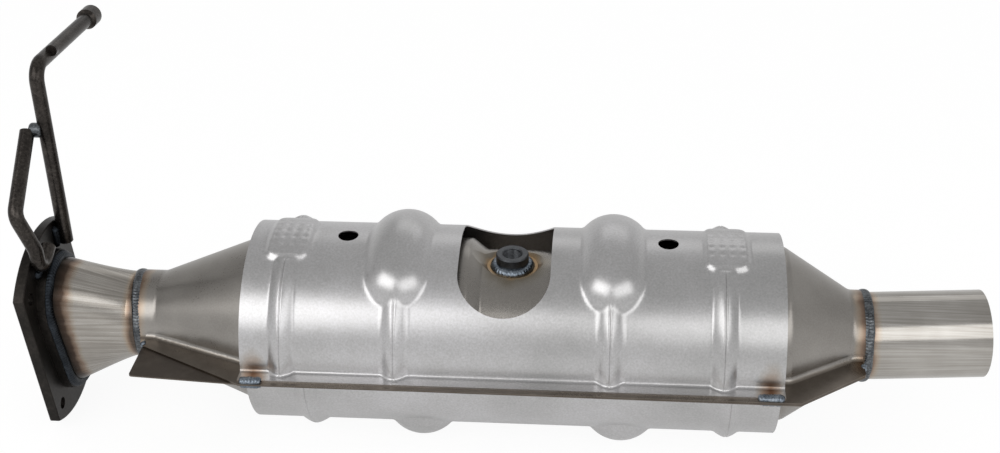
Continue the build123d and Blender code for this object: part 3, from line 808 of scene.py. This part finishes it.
# Oxygen sensor bung: turned ring with an M18 x 1.5 thread, helical
bung = {"at": (420.8, 0, 61.5), "top": 12.4, "foot": -1.5, "outer": 14.2, "pilot": 11.0, "edge": 1.0}
thread = {"crest": 8.25, "depth": 0.8, "pitch": 1.5, "rise": 0.15, "plain": 0.6, "sides": 96}


def threadRadius(z, angle):
    # one pitch of fade at each end of the thread
    wave = (z / thread["pitch"] + angle / tau) % 1
    fromTop = (bung["top"] - bung["edge"] - z) / thread["pitch"]
    fromFoot = (z - bung["foot"] - thread["plain"]) / thread["pitch"]
    fadeOut = min(1, max(0, fromTop), max(0, fromFoot))
    return thread["crest"] + thread["depth"] * (1 - abs(2 * wave - 1)) * fadeOut


def makeBung():
    top, foot, edge = bung["top"], bung["foot"], bung["edge"]
    outside = [(bung["pilot"], foot), (bung["pilot"], 0), (bung["outer"], 0), (bung["outer"], top - edge),
               (bung["outer"] - edge, top), (thread["crest"] + edge, top), (thread["crest"], top - edge)]
    rows = round((top - edge - foot) / thread["rise"])
    inside = [(0, top - edge + (foot - top + edge) * i / rows) for i in range(1, rows + 1)]
    profile = outside + inside + [outside[0]]
    sides = thread["sides"]
    bm = flatGrid([tau * i / sides for i in range(sides + 1)], list(range(len(profile))))
    for vert in bm.verts:
        angle = vert.co.x
        radius, z = profile[round(vert.co.y)]
        if radius == 0:
            radius = threadRadius(z, angle)
        vert.co = Vector(bung["at"]) + Vector((radius * math.cos(angle), radius * math.sin(angle), z))
    newPiece("oxygenSensorBung", bm, "oxygen_sensor_bung", sharp=25)


makeBung()
print("bung turned")

# Honeycomb blocks: square cells open at both faces, drawn coarser than the real ones so that they show
honeycomb = {
    "radius": 71.9,
    "cell": 2.6,
    "wall": 0.22,
    "depth": 5.0,
    "draft": 0.001,
    "rim": 0.7,
    "length": 152.4,
    "segments": 96,
    "starts": (216.0, 486.8),
    "onFace": 0.01,  # how near a point lies to a face that it belongs to
}


def makeBlock(name, node, start):
    bm = bmesh.new()
    cell, radius, length = honeycomb["cell"], honeycomb["radius"], honeycomb["length"]
    span = math.ceil(radius / cell)
    for x, way in ((start, -1), (start + length, 1)):
        grid = bmesh.ops.create_grid(bm, x_segments=2 * span, y_segments=2 * span, size=span * cell)
        turn = Matrix.Rotation(way * math.pi / 2, 3, "Y")
        bmesh.ops.rotate(bm, verts=grid["verts"], matrix=turn)
        bmesh.ops.translate(bm, verts=grid["verts"], vec=(x, 0, 0))
    reach = radius - honeycomb["rim"]
    outside = [f for f in bm.faces if max(math.hypot(v.co.y, v.co.z) for v in f.verts) > reach]
    bmesh.ops.delete(bm, geom=outside, context="FACES")
    cells = list(bm.faces)
    bmesh.ops.inset_individual(bm, faces=cells, thickness=honeycomb["wall"] / 2)
    bmesh.ops.inset_individual(bm, faces=cells, thickness=honeycomb["draft"], depth=-honeycomb["depth"])
    skin = bmesh.ops.create_cone(bm, cap_ends=False, segments=honeycomb["segments"],
                                 radius1=radius, radius2=radius, depth=length)
    bmesh.ops.rotate(bm, verts=skin["verts"], matrix=Matrix.Rotation(math.pi / 2, 3, "Y"))
    bmesh.ops.translate(bm, verts=skin["verts"], vec=(start + length / 2, 0, 0))
    # each face's rim of cells is joined to the skin
    near = honeycomb["onFace"]
    for x in (start, start + length):
        rims = [e for e in bm.edges if e.is_boundary and all(abs(v.co.x - x) < near for v in e.verts)]
        bmesh.ops.bridge_loops(bm, edges=rims)
    newPiece(name, bm, node, sharp=30)


for label, start in zip(("front", "rear"), honeycomb["starts"]):
    makeBlock(f"{label}Honeycomb", f"{label}_monolith", start)
print("honeycomb cut")


# Floor, backdrop and lights, in metres and degrees
studio = {
    "floorSize": 14.0,
    "floorAt": (0.4, 0),
    "floorGap": 0.0002,
    "sky": ((0.0, 0.7), (0.5, 0.46), (0.9, 0.48)),  # sine of the height, brightness
    "aim": (0.41, 0, 0),
}
lamps = {
    "frontLeft": {"azimuth": -40, "elevation": 38, "distance": 1.9, "size": (1.7, 1.0), "energy": 9.0},
    "frontRight": {"azimuth": 37, "elevation": 34, "distance": 1.9, "size": (1.9, 1.0), "energy": 6.8},
    "behind": {"azimuth": 175, "elevation": 35, "distance": 2.2, "size": (1.6, 0.8), "energy": 1.6},
}
# how the paper shows: its own glow to the camera, less of it in reflections, lit paper for the rest
whitePaper = {"toCamera": 0.85, "inMetal": 0.35, "glow": 1.08, "tones": (0.8, 0.84), "fibre": 30}


def grey(value):
    return [value, value, value, 1]


def makeFloor():
    bm = bmesh.new()
    bmesh.ops.create_grid(bm, x_segments=1, y_segments=1, size=studio["floorSize"] / 2)
    bmesh.ops.translate(bm, verts=bm.verts, vec=(*studio["floorAt"], cadBox[0][2] - studio["floorGap"]))
    mesh = bpy.data.meshes.new("floor")
    bm.to_mesh(mesh)
    bm.free()
    floor = bpy.data.objects.new("floor", mesh)
    bpy.context.scene.collection.objects.link(floor)
    # matt white paper: seen as white, darkened a little where the object shades it
    material, tree, coords = newMaterial("whitePaper")
    seen = addNode(tree, "ShaderNodeLightPath")
    glossy = {0: seen.outputs["Is Glossy Ray"], 1: whitePaper["inMetal"]}
    mirrored = addNode(tree, "ShaderNodeMath", glossy, operation="MULTIPLY")
    direct = {0: seen.outputs["Is Camera Ray"], 1: whitePaper["toCamera"], 2: mirrored.outputs[0]}
    part = addNode(tree, "ShaderNodeMath", direct, operation="MULTIPLY_ADD")
    fibre = grain(tree, coords, whitePaper["fibre"])
    low, high = whitePaper["tones"]
    tone = addNode(tree, "ShaderNodeValToRGB", {0: fibre}, [(0, grey(low)), (1, grey(high))])
    paper = addNode(tree, "ShaderNodeBsdfDiffuse", {"Color": tone.outputs["Color"]})
    glow = addNode(tree, "ShaderNodeEmission", {"Color": grey(1), "Strength": whitePaper["glow"]})
    both = addNode(tree, "ShaderNodeMixShader", {0: part.outputs[0], 1: paper.outputs[0], 2: glow.outputs[0]})
    addNode(tree, "ShaderNodeOutputMaterial", {"Surface": both.outputs[0]})
    mesh.materials.append(material)


def makeSky():
    world = bpy.data.worlds.new("studio")
    world.use_nodes = True
    tree = world.node_tree
    tree.nodes.clear()
    way = addNode(tree, "ShaderNodeTexCoord").outputs["Generated"]
    height = addNode(tree, "ShaderNodeSeparateXYZ", {0: way}).outputs["Z"]
    stops = [(place, grey(tone)) for place, tone in studio["sky"]]
    sky = addNode(tree, "ShaderNodeValToRGB", {0: height}, stops)
    glow = addNode(tree, "ShaderNodeBackground", {"Color": sky.outputs["Color"], "Strength": 1.0})
    addNode(tree, "ShaderNodeOutputWorld", {"Surface": glow.outputs[0]})
    bpy.context.scene.world = world


def makeLamp(name, azimuth, elevation, distance, size, energy):
    az = math.radians(azimuth)
    el = math.radians(elevation)
    way = Vector((math.sin(az) * math.cos(el), -math.cos(az) * math.cos(el), math.sin(el)))
    data = bpy.data.lights.new(name, "AREA")
    data.shape = "RECTANGLE"
    data.size, data.size_y = size
    data.energy = energy
    lamp = bpy.data.objects.new(name, data)
    bpy.context.scene.collection.objects.link(lamp)
    lamp.location = Vector(studio["aim"]) + way * distance
    lamp.rotation_euler = way.to_track_quat("Z", "Y").to_euler()


makeFloor()
makeSky()
for name, lamp in lamps.items():
    makeLamp(name, **lamp)
bpy.context.scene.view_settings.view_transform = "Standard"
print("studio lit")
